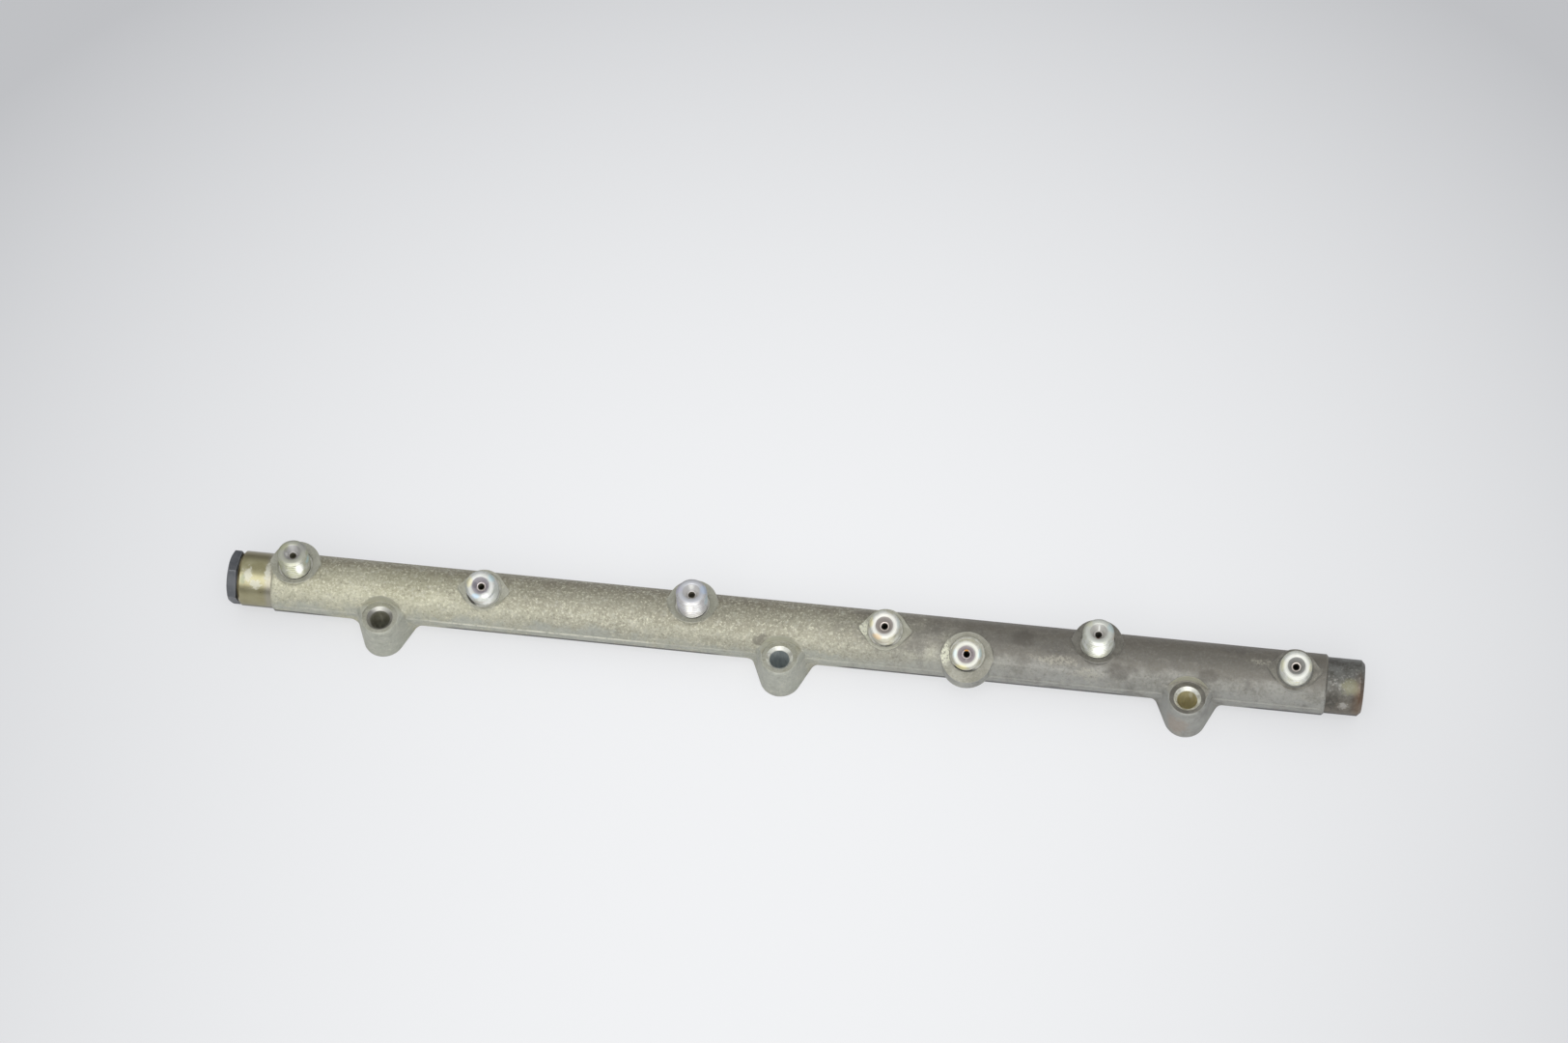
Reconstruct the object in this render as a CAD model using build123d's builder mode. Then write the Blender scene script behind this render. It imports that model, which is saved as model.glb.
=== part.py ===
from build123d import *
import os
from math import cos, pi, radians, sin, tan

# High-pressure fuel rail for a diesel engine with six cylinders in line.
# The rail is one steel forging: a thick-walled tube body, seven pipe stubs, three bolt
# lugs and a turned spigot at each end. A hexagon plug closes the left end of its bore.
# The origin is the middle bolt hole's axis on the mounting face, under the lugs.
# +X runs along the rail, +Z up along the bolts, and the rail's axis lies on the +Y side.

os.makedirs("parts", exist_ok=True)

# Engine and mounting, in millimetres and degrees
cylinder_pitch = 91.0
bolt_row_offset = 16.8
bolt_hole_diameter = 9.0
bolt_chamfer = 1.5
bolt_spotface_diameter = 16.0

# Rail body
body_diameter = 27.2
left_end_margin = 9.8
right_end_margin = 14.5
body_shoulder_chamfer = 0.8
rail_bore_diameter = 10.6
parting_height = 1.0
trim_band_width = 2.0
trim_band_height = 0.3
trim_band_end_gap = 1.6

# Turned spigots
shoulder_step = 1.1
left_spigot_length = 16.0
left_spigot_chamfer = 1.3
right_spigot_length = 16.3
right_spigot_chamfer = 1.6
port_diameter = 18.0
port_depth = 14.0
port_mouth_chamfer = 0.8
port_seat_angle = 60.0

# Bolt lugs
lug_radius = 9.3
bolt_spotface_rise = 5.6
lug_draft = 2.4
lug_flank_angle = 24.0
lug_inner_gap = 4.0
lug_skin_rise = 0.6
lug_relief_radius = 13.1
lug_relief_shift = 4.7
lug_top_chamfer = 1.3
lug_waist_level = 6.5
lug_foot_level = 2.6
lug_top_sweep = 1.5
lug_waist_sweep = 7.0
lug_foot_sweep = 4.0
lug_root_bite = 0.15

# Pipe stubs
thread_diameter = 14.0
stub_tip_distance = 23.6
stub_tip_chamfer = 1.0
stub_flat_distance = 13.0
root_groove_diameter = 15.8
root_groove_depth = 1.5
boss_face_growth = 0.2
seat_mouth_diameter = 7.8
seat_foot_diameter = 4.5
seat_angle = 60.0
stub_bore_diameter = 2.9

# Places and leans of the three kinds of stub, measured from the middle bolt
upright_station = -41.6
upright_lean = 0.0
upright_offset = 2.5
inclined_station = 45.9
inclined_lean = 19.0
inclined_offset = 3.0
inlet_station = 83.3
inlet_lean = 30.0
inlet_offset = -1.9

# Forged bosses under the stubs: half length along the rail, half width across it
upright_boss = (11.6, 11.0)
inclined_boss = (11.6, 9.3)
inlet_boss = (11.8, 11.4)
upright_boss_shift = 0.9
inclined_boss_shift = 0.0
inlet_boss_shift = -1.4
boss_nose_radius = 1.8
boss_draft = 7.0
boss_foot_depth = 9.0
boss_foot_share = 0.5

# End plug
plug_across_flats = 22.0
plug_head_height = 4.2
plug_chamfer_angle = 30.0
plug_face_diameter = 20.4
plug_face_height = 0.6
plug_thread_clearance = 0.1
plug_shank_clearance = 0.5
plug_corner_lean = 16.0

# Worked out from the sizes above
body_radius = body_diameter / 2
spigot_radius = body_radius - shoulder_step
bore_radius = rail_bore_diameter / 2
port_radius = port_diameter / 2
thread_radius = thread_diameter / 2
bolt_pitch = 2 * cylinder_pitch
bolt_stations = (-bolt_pitch, 0.0, bolt_pitch)
body_left_length = bolt_pitch - upright_station + left_end_margin
body_right_length = bolt_pitch + inclined_station + right_end_margin
lug_height = body_radius + bolt_spotface_rise
lug_top = lug_height + lug_skin_rise
left_face = -body_left_length - left_spigot_length
right_face = body_right_length + right_spigot_length
parting_level = body_radius + parting_height
rail_axis = Axis((0, bolt_row_offset, body_radius), (1, 0, 0))
rail_section = Plane((0, bolt_row_offset, body_radius), x_dir=(1, 0, 0), z_dir=(0, -1, 0))

upright_stubs = [(upright_station + bolt, upright_lean, upright_offset) for bolt in bolt_stations]
inclined_stubs = [(inclined_station + bolt, inclined_lean, inclined_offset) for bolt in bolt_stations]
stubs = upright_stubs + inclined_stubs + [(inlet_station, inlet_lean, inlet_offset)]
upright_bosses = [(upright_boss, upright_boss_shift)] * len(upright_stubs)
inclined_bosses = [(inclined_boss, inclined_boss_shift)] * len(inclined_stubs)
bosses = upright_bosses + inclined_bosses + [(inlet_boss, inlet_boss_shift)]


def stub_plane(station, lean, offset, height):
    """A plane square to a stub's axis, at a height along it from the rail's axis."""
    up_y = -sin(radians(lean))
    up_z = cos(radians(lean))
    centre_y = bolt_row_offset + offset * up_z + height * up_y
    centre_z = body_radius - offset * up_y + height * up_z
    return Plane((station, centre_y, centre_z), x_dir=(1, 0, 0), z_dir=(0, up_y, up_z))


def stub_section(station, lean, offset):
    """A plane through a stub's axis, with its local Y along the stub."""
    base = stub_plane(station, lean, offset, 0)
    return Plane(base.origin, x_dir=(1, 0, 0), z_dir=base.y_dir * -1)


def stub_axis(station, lean, offset):
    """A stub's axis, pointing out of its mouth."""
    base = stub_plane(station, lean, offset, 0)
    return Axis(base.origin, base.z_dir)


def boss_outline(plane, half_length, half_width, growth):
    """The round boss drawn out to a blunt point each way along the rail."""
    nose_centre = half_length - boss_nose_radius
    with BuildSketch(plane) as outline:
        with BuildLine():
            CenterArc((0, 0), half_width + growth, 0, 360)
            CenterArc((nose_centre, 0), boss_nose_radius + growth, 0, 360)
            CenterArc((-nose_centre, 0), boss_nose_radius + growth, 0, 360)
        make_hull()
    return outline.sketch


def body_edge(level):
    """Where the near side of the rail's body is at a height over the mounting face."""
    half_chord = (body_radius**2 - (body_radius - level) ** 2) ** 0.5
    return bolt_row_offset - half_chord


def lug_outline(height, edge_level, root_radius):
    """A lug's section at a height: round tip, widening flanks and roots swept to the body's edge."""
    flank = radians(lug_flank_angle)
    tip_radius = lug_radius - height * tan(radians(lug_draft))
    tangent_x = tip_radius * cos(flank)
    tangent_y = -tip_radius * sin(flank)
    edge_y = body_edge(edge_level) + lug_root_bite
    root_x = tangent_x + (edge_y - tangent_y) * tan(flank)
    sweep = root_radius * tan((pi / 2 - flank) / 2)
    sweep_x = root_x + sweep
    sweep_y = edge_y - root_radius
    inner_y = bolt_row_offset - lug_inner_gap
    with BuildSketch(Plane.XY.offset(height)) as outline:
        with BuildLine():
            tip = CenterArc((0, 0), tip_radius, 180 + lug_flank_angle, 180 - 2 * lug_flank_angle)
            right_root = (root_x - sweep * sin(flank), edge_y - sweep * cos(flank))
            Line(tip @ 1, right_root)
            right_sweep = CenterArc((sweep_x, sweep_y), root_radius, 90, 90 - lug_flank_angle)
            left_sweep = CenterArc((-sweep_x, sweep_y), root_radius, 90, lug_flank_angle - 90)
            Polyline(right_sweep @ 0, (sweep_x, inner_y), (-sweep_x, inner_y), left_sweep @ 0)
            Line(left_sweep @ 1, tip @ 0)
        make_face()
    return outline.sketch


# One bolt lug as forged, with flanks that widen and sweep into the body
with BuildPart() as bolt_lug:
    lug_sections = [
        lug_outline(0, lug_foot_level, lug_foot_sweep),
        lug_outline(lug_waist_level, lug_waist_level, lug_waist_sweep),
        lug_outline(lug_top, lug_top, lug_top_sweep),
    ]
    loft(lug_sections, ruled=True)
    top_rim = bolt_lug.edges().filter_by(lambda edge: abs(edge.bounding_box().min.Z - lug_top) < 0.001)
    chamfer(top_rim.sort_by(Axis.Y)[0], lug_top_chamfer)

with BuildPart() as rail_body:
    # Tube body with a spigot at each end
    with BuildSketch(rail_section):
        with BuildLine():
            Polyline(
                (left_face, 0),
                (left_face, spigot_radius),
                (-body_left_length, spigot_radius),
                (-body_left_length, body_radius),
                (body_right_length, body_radius),
                (body_right_length, spigot_radius),
                (right_face, spigot_radius),
                (right_face, 0),
                close=True,
            )
        make_face()
    revolve(axis=rail_axis)
    end_rims = rail_body.edges().filter_by(GeomType.CIRCLE).sort_by(Axis.X)
    shoulder_rims = end_rims.filter_by(lambda rim: abs(rim.radius - body_radius) < 0.001)
    chamfer(shoulder_rims, body_shoulder_chamfer)
    chamfer(end_rims[0], left_spigot_chamfer)
    chamfer(end_rims[-1], right_spigot_chamfer)

    # The three bolt lugs
    with Locations([(station, 0, 0) for station in bolt_stations]):
        add(bolt_lug.part)

    # Trimmed band of flash along the parting line
    with BuildSketch(rail_section):
        with Locations(((body_right_length - body_left_length) / 2, parting_height)):
            Rectangle(
                body_left_length + body_right_length - 2 * trim_band_end_gap,
                trim_band_width,
            )
    extrude(amount=body_radius + trim_band_height, both=True)

    # Forged bosses under the stubs, drawn down to the parting line
    for (station, lean, offset), ((half_length, half_width), shift) in zip(stubs, bosses):
        top = stub_plane(station, lean, offset + shift, stub_flat_distance)
        drop = top.origin.Z - parting_level
        growth = drop * tan(radians(boss_draft))
        half_width_below = half_width * cos(radians(lean))
        reach_y = top.origin.Y - bolt_row_offset
        foot_y = bolt_row_offset + reach_y * boss_foot_share
        foot_half_width = half_width_below * boss_foot_share
        at_parting = Plane((station, top.origin.Y, parting_level))
        at_foot = Plane((station, foot_y, parting_level - boss_foot_depth))
        upper = boss_outline(top, half_length, half_width, 0)
        lower = boss_outline(at_parting, half_length, half_width_below, growth)
        foot = boss_outline(at_foot, half_length * boss_foot_share, foot_half_width, 0)
        loft([upper, lower], ruled=True)
        loft([lower, foot], ruled=True)

    # Face the bosses square to the stubs, with a recess round each thread's root
    stub_height = stub_tip_distance - stub_flat_distance
    for (station, lean, offset), ((half_length, half_width), shift) in zip(stubs, bosses):
        top = stub_plane(station, lean, offset + shift, stub_flat_distance)
        boss_face = boss_outline(top, half_length, half_width, boss_face_growth)
        extrude(boss_face, amount=stub_height, mode=Mode.SUBTRACT)
    for station, lean, offset in stubs:
        with BuildSketch(stub_plane(station, lean, offset, stub_flat_distance)):
            Circle(root_groove_diameter / 2)
        extrude(amount=-root_groove_depth, mode=Mode.SUBTRACT)

    # Threaded pipe stubs at their thread's outer diameter
    for station, lean, offset in stubs:
        with BuildSketch(stub_section(station, lean, offset)):
            with BuildLine():
                Polyline(
                    (0, bore_radius),
                    (thread_radius, bore_radius),
                    (thread_radius, stub_tip_distance - stub_tip_chamfer),
                    (thread_radius - stub_tip_chamfer, stub_tip_distance),
                    (0, stub_tip_distance),
                    close=True,
                )
            make_face()
        revolve(axis=stub_axis(station, lean, offset))

    # Sealing cone in each stub's mouth and its drilling into the rail's bore
    seat_mouth = seat_mouth_diameter / 2
    seat_foot = seat_foot_diameter / 2
    seat_depth = (seat_mouth - seat_foot) / tan(radians(seat_angle / 2))
    seat_floor = stub_tip_distance - seat_depth
    for station, lean, offset in stubs:
        with BuildSketch(stub_section(station, lean, offset)):
            with BuildLine():
                Polyline(
                    (0, 0),
                    (stub_bore_diameter / 2, 0),
                    (stub_bore_diameter / 2, seat_floor),
                    (seat_foot, seat_floor),
                    (seat_mouth, stub_tip_distance),
                    (0, stub_tip_distance),
                    close=True,
                )
            make_face()
        revolve(axis=stub_axis(station, lean, offset), mode=Mode.SUBTRACT)

    # Bore through the rail, with a port for a screwed-in part at each end
    # The right port narrows to the bore in a sealing cone, and the left one takes the plug
    seat_run = (port_radius - bore_radius) / tan(radians(port_seat_angle / 2))
    with BuildSketch(rail_section):
        with BuildLine():
            Polyline(
                (left_face, 0),
                (left_face, port_radius),
                (left_face + port_depth, port_radius),
                (left_face + port_depth, bore_radius),
                (right_face - port_depth - seat_run, bore_radius),
                (right_face - port_depth, port_radius),
                (right_face - port_mouth_chamfer, port_radius),
                (right_face, port_radius + port_mouth_chamfer),
                (right_face, 0),
                close=True,
            )
        make_face()
    revolve(axis=rail_axis, mode=Mode.SUBTRACT)

    # Wide relief behind each bolt, level with the lug's top
    with BuildSketch(Plane.XY.offset(lug_top)):
        with Locations([(station, -lug_relief_shift) for station in bolt_stations]):
            Circle(lug_relief_radius)
    extrude(amount=body_diameter - lug_top, mode=Mode.SUBTRACT)

    # Bolt holes, faced and chamfered for the bolt heads
    bolt_radius = bolt_hole_diameter / 2
    with BuildSketch(Plane.XY.offset(lug_height)):
        with Locations([(station, 0) for station in bolt_stations]):
            Circle(bolt_spotface_diameter / 2)
    extrude(amount=body_diameter - lug_height, mode=Mode.SUBTRACT)
    for station in bolt_stations:
        with BuildSketch(Plane((station, 0, 0), x_dir=(1, 0, 0), z_dir=(0, -1, 0))):
            with BuildLine():
                Polyline(
                    (0, 0),
                    (bolt_radius, 0),
                    (bolt_radius, lug_height - bolt_chamfer),
                    (bolt_radius + bolt_chamfer, lug_height),
                    (0, lug_height),
                    close=True,
                )
            make_face()
        revolve(axis=Axis((station, 0, 0), (0, 0, 1)), mode=Mode.SUBTRACT)

rail_body.part.label = "rail_body"
export_step(rail_body.part, "parts/rail_body.step")

# Plug screwed into the left port, its face on the spigot's end
with BuildPart() as end_plug:
    head_start = left_face - plug_face_height
    head_end = head_start - plug_head_height
    corner_radius = plug_across_flats / 2 / cos(radians(30))
    head_plane = Plane(
        (head_end, bolt_row_offset, body_radius),
        x_dir=(0, -sin(radians(plug_corner_lean)), cos(radians(plug_corner_lean))),
        z_dir=(1, 0, 0),
    )
    with BuildSketch(head_plane):
        RegularPolygon(corner_radius, 6)
    extrude(amount=plug_head_height)
    chamfer_run = (corner_radius - plug_across_flats / 2) * tan(radians(plug_chamfer_angle))
    with BuildSketch(rail_section):
        with BuildLine():
            Polyline(
                (head_end, 0),
                (head_end, plug_across_flats / 2),
                (head_end + chamfer_run, corner_radius),
                (head_start, corner_radius),
                (head_start, 0),
                close=True,
            )
        make_face()
    revolve(axis=rail_axis, mode=Mode.INTERSECT)
    shank_radius = port_radius - plug_thread_clearance
    shank_end = left_face + port_depth - plug_shank_clearance
    with BuildSketch(rail_section):
        with BuildLine():
            Polyline(
                (head_start, 0),
                (head_start, plug_face_diameter / 2),
                (left_face, plug_face_diameter / 2),
                (left_face, shank_radius),
                (shank_end, shank_radius),
                (shank_end, 0),
                close=True,
            )
        make_face()
    revolve(axis=rail_axis)

end_plug.part.label = "end_plug"
export_step(end_plug.part, "parts/end_plug.step")
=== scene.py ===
import math

import bmesh
import bpy
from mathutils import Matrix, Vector


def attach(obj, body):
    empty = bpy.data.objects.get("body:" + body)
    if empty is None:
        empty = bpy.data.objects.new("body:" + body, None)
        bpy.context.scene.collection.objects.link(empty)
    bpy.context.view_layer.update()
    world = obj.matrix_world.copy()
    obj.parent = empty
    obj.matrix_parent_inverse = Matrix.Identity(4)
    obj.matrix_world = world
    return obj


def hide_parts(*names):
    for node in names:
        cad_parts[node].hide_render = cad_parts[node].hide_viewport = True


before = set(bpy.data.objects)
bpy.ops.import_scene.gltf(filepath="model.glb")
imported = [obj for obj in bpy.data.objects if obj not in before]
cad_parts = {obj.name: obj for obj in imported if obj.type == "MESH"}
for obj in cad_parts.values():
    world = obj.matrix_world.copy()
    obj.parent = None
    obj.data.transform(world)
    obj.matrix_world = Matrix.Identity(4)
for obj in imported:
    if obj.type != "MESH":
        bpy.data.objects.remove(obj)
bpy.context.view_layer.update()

# Metres in a millimetre
MM = 0.001

# Sizes that the solids use too, in millimetres and degrees
BODY_RADIUS = 13.6
AXIS_Y = 16.8
BOLTS = (-182.0, 0.0, 182.0)
BODY_LEFT = -233.4
BODY_RIGHT = 242.4
SPIGOT_RADIUS = 12.5
PORT_MOUTH_RADIUS = 9.8
LUG_TOP = 19.2
BOLT_HOLE_RADIUS = 4.5
BOLT_CHAMFER = 1.5
SPOTFACE_RADIUS = 8.0
RELIEF_LEVEL = 19.8
RELIEF_RADIUS = 13.1
RELIEF_SHIFT = 4.7
BOSS_FACE_HEIGHT = 13.0
ROOT_HEIGHT = 11.5
ROOT_GROOVE_RADIUS = 7.9
TIP_HEIGHT = 23.6
THREAD_RADIUS = 7.0
TIP_CHAMFER = 1.0
SEAT_MOUTH_RADIUS = 3.9
SEAT_ANGLE = 60.0
DRILLING_RADIUS = 1.45

# How near a face has to be to a place to count as on it
NEAR = 0.02

# How near two corners have to be to become one, in metres
WELD = 1e-6

# Fine detail of the stubs, which the solids leave out
THREAD_PITCH = 1.5
THREAD_DEPTH = 0.88
CREST_PLAY = 0.02
ROOT_SINK = 0.1
FLANK_START = 0.25
CREST_START = 0.56
CREST_END = 0.69
TIP_CROWN = 0.22
SEAT_FOOT_RADIUS = 2.05
TURNED_STEP = 0.62
AROUND = 96

# Viewpoint: its place in metres, its turns in degrees, its lens and frame width in millimetres
CAMERA_PLACE = (0.1509, -0.7971, 1.4781)
CAMERA_TURN = (31.1132, 1.7408, 7.4402)
LENS = 85.77
FRAME_WIDTH = 36.0

# Lamp: its power, its spread in degrees and the side that it stands on
LAMP_POWER = 1.5
LAMP_SPREAD = 60.0
LAMP_SIDE = (0.05, -0.58, 0.81)

# Surround: the heights, as parts of one, that it brightens between, and its strength at each
SURROUND_HEIGHTS = (0.1, 0.85)
SURROUND_STRENGTHS = (0.34, 0.78)

# Floor: half its side and its depth under the rail, in metres
FLOOR_REACH = 6.0
FLOOR_DEPTH = 0.0001

# The floor's darkening: the distances in millimetres that it grows over, sideways and away
SIDE_FADE = 350.0
FAR_FADE = 330.0

# How much of the floor's colour the camera sees without light or shadow
PLAIN_SHARE = 0.68

# Station, lean and offset of each stub, from the left end to the right
STUBS = [
    (-223.6, 0.0, 2.5),
    (-136.1, 19.0, 3.0),
    (-41.6, 0.0, 2.5),
    (45.9, 19.0, 3.0),
    (83.3, 30.0, -1.9),
    (140.4, 0.0, 2.5),
    (227.9, 19.0, 3.0),
]


def stub_frame(station, lean, offset):
    """A stub's base point on the rail's axis level, its cross direction and its own axis."""
    up = Vector((0.0, -math.sin(math.radians(lean)), math.cos(math.radians(lean))))
    across = Vector((0.0, up.z, -up.y))
    base = Vector((station, AXIS_Y, BODY_RADIUS)) + across * offset
    return base, across, up


class Paint:
    """Short calls that add nodes to one material. Its coordinates are the row frame's millimetres."""

    def __init__(self, name):
        self.material = bpy.data.materials.new(name)
        self.material.use_nodes = True
        self.tree = self.material.node_tree
        self.tree.nodes.clear()
        place = self.tree.nodes.new("ShaderNodeTexCoord").outputs["Object"]
        scale = self.tree.nodes.new("ShaderNodeVectorMath")
        scale.operation = "SCALE"
        scale.inputs["Scale"].default_value = 1 / MM
        self.tree.links.new(place, scale.inputs[0])
        self.place = scale.outputs[0]
        split = self.tree.nodes.new("ShaderNodeSeparateXYZ")
        self.tree.links.new(self.place, split.inputs[0])
        self.x, self.y, self.z = split.outputs

    def put(self, socket, value):
        if isinstance(value, bpy.types.NodeSocket):
            self.tree.links.new(value, socket)
        elif isinstance(value, (tuple, list)) and socket.type == "RGBA":
            socket.default_value = (*value, 1.0)
        else:
            socket.default_value = value

    def sum(self, operation, first, second=0.0, clamp=False):
        node = self.tree.nodes.new("ShaderNodeMath")
        node.operation = operation
        node.use_clamp = clamp
        self.put(node.inputs[0], first)
        self.put(node.inputs[1], second)
        return node.outputs[0]

    def times(self, *values):
        out = values[0]
        for value in values[1:]:
            out = self.sum("MULTIPLY", out, value)
        return out

    def most(self, *values):
        out = values[0]
        for value in values[1:]:
            out = self.sum("MAXIMUM", out, value)
        return out

    def rise(self, value, low, high):
        """0 below low and 1 above high, smooth between them."""
        node = self.tree.nodes.new("ShaderNodeMapRange")
        node.interpolation_type = "SMOOTHSTEP"
        self.put(node.inputs["Value"], value)
        flip = low > high
        node.inputs["From Min"].default_value = min(low, high)
        node.inputs["From Max"].default_value = max(low, high)
        node.inputs["To Min"].default_value = 1.0 if flip else 0.0
        node.inputs["To Max"].default_value = 0.0 if flip else 1.0
        return node.outputs["Result"]

    def span(self, value, low, high, soft):
        """1 between low and high, fading over soft at both."""
        start = self.rise(value, low - soft, low + soft)
        return self.times(start, self.rise(value, high + soft, high - soft))

    def noise(self, scale, detail=3.0, roughness=0.55, stretch=(1.0, 1.0, 1.0), shift=0.0):
        node = self.tree.nodes.new("ShaderNodeTexNoise")
        node.inputs["Scale"].default_value = 1.0
        node.inputs["Detail"].default_value = detail
        node.inputs["Roughness"].default_value = roughness
        place = self.tree.nodes.new("ShaderNodeMapping")
        self.tree.links.new(self.place, place.inputs["Vector"])
        place.inputs["Scale"].default_value = tuple(scale * s for s in stretch)
        place.inputs["Location"].default_value = (shift, 1.7 * shift, 0.6 * shift)
        self.tree.links.new(place.outputs[0], node.inputs["Vector"])
        return node.outputs[0]

    def patch(self, centre, reach, ragged=0.5, grain=0.35, shift=0.0):
        """A stain with a ragged edge: 1 at its centre and 0 past its reach."""
        move = self.tree.nodes.new("ShaderNodeVectorMath")
        move.operation = "SUBTRACT"
        self.tree.links.new(self.place, move.inputs[0])
        move.inputs[1].default_value = centre
        shrink = self.tree.nodes.new("ShaderNodeVectorMath")
        shrink.operation = "DIVIDE"
        self.tree.links.new(move.outputs[0], shrink.inputs[0])
        shrink.inputs[1].default_value = reach
        length = self.tree.nodes.new("ShaderNodeVectorMath")
        length.operation = "LENGTH"
        self.tree.links.new(shrink.outputs[0], length.inputs[0])
        wander = self.sum("SUBTRACT", self.noise(grain, 4.0, 0.6, shift=shift), 0.5)
        edge = self.sum("ADD", length.outputs["Value"], self.times(wander, ragged * 2))
        return self.rise(edge, 1.0, 0.45)

    def mix(self, share, first, second):
        node = self.tree.nodes.new("ShaderNodeMix")
        node.data_type = "RGBA"
        self.put(node.inputs["Factor"], share)
        self.put(node.inputs[6], first)
        self.put(node.inputs[7], second)
        return node.outputs[2]

    def rounded(self, radius):
        """Normals that round the edges over a radius in millimetres."""
        node = self.tree.nodes.new("ShaderNodeBevel")
        node.samples = 6
        node.inputs["Radius"].default_value = radius * MM
        return node.outputs[0]

    def bump(self, height, depth, normal=None):
        """A bump whose height runs over depth millimetres."""
        node = self.tree.nodes.new("ShaderNodeBump")
        node.inputs["Distance"].default_value = depth * MM
        node.inputs["Strength"].default_value = 1.0
        self.put(node.inputs["Height"], height)
        if normal is not None:
            self.put(node.inputs["Normal"], normal)
        return node.outputs[0]

    def crevice(self, reach):
        """1 in corners and 0 in the open, over a reach in millimetres."""
        node = self.tree.nodes.new("ShaderNodeAmbientOcclusion")
        node.samples = 6
        node.inputs["Distance"].default_value = reach * MM
        return self.sum("SUBTRACT", 1.0, node.outputs["AO"], clamp=True)

    def worn(self, radius):
        """1 along outer edges, over a radius in millimetres, and 0 elsewhere."""
        apart = self.tree.nodes.new("ShaderNodeVectorMath")
        apart.operation = "DISTANCE"
        plain = self.tree.nodes.new("ShaderNodeNewGeometry").outputs["Normal"]
        self.tree.links.new(self.rounded(radius), apart.inputs[0])
        self.tree.links.new(plain, apart.inputs[1])
        open_air = self.rise(self.crevice(3 * radius), 0.75, 0.45)
        return self.times(self.rise(apart.outputs["Value"], 0.15, 0.45), open_air)

    def painted_underside_shade(self):
        """1 on the underside, where shade is painted dark, and 0 near the lugs and higher up."""
        ragged = self.times(self.sum("SUBTRACT", self.noise(0.09, 4.0, 0.6, shift=5.5), 0.5), 12.0)
        along = self.sum("ADD", self.x, ragged)
        lugs = self.most(*(self.span(along, bolt - 27.0, bolt + 27.0, 5.0) for bolt in BOLTS))
        level = self.sum("ADD", self.z, ragged)
        near_side = self.times(self.rise(self.y, 3.2, 3.6), self.rise(self.y, 15.0, 11.0))
        thick = self.sum("ADD", 0.35, self.times(self.rise(level, 4.0, 9.5), 0.65))
        between = self.sum("SUBTRACT", 1.0, lugs)
        near = self.times(self.rise(self.z, 11.6, 10.2), near_side, thick, between)
        far = self.times(self.rise(level, 6.0, 0.5), self.rise(self.y, 10.0, 14.0), 0.6)
        return self.most(near, far)

    def metal(self, colour, roughness, metallic, normal=None):
        shader = self.tree.nodes.new("ShaderNodeBsdfPrincipled")
        self.put(shader.inputs["Base Color"], colour)
        self.put(shader.inputs["Roughness"], roughness)
        self.put(shader.inputs["Metallic"], metallic)
        if normal is not None:
            self.put(shader.inputs["Normal"], normal)
        out = self.tree.nodes.new("ShaderNodeOutputMaterial")
        self.tree.links.new(shader.outputs[0], out.inputs["Surface"])
        return self.material


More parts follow.
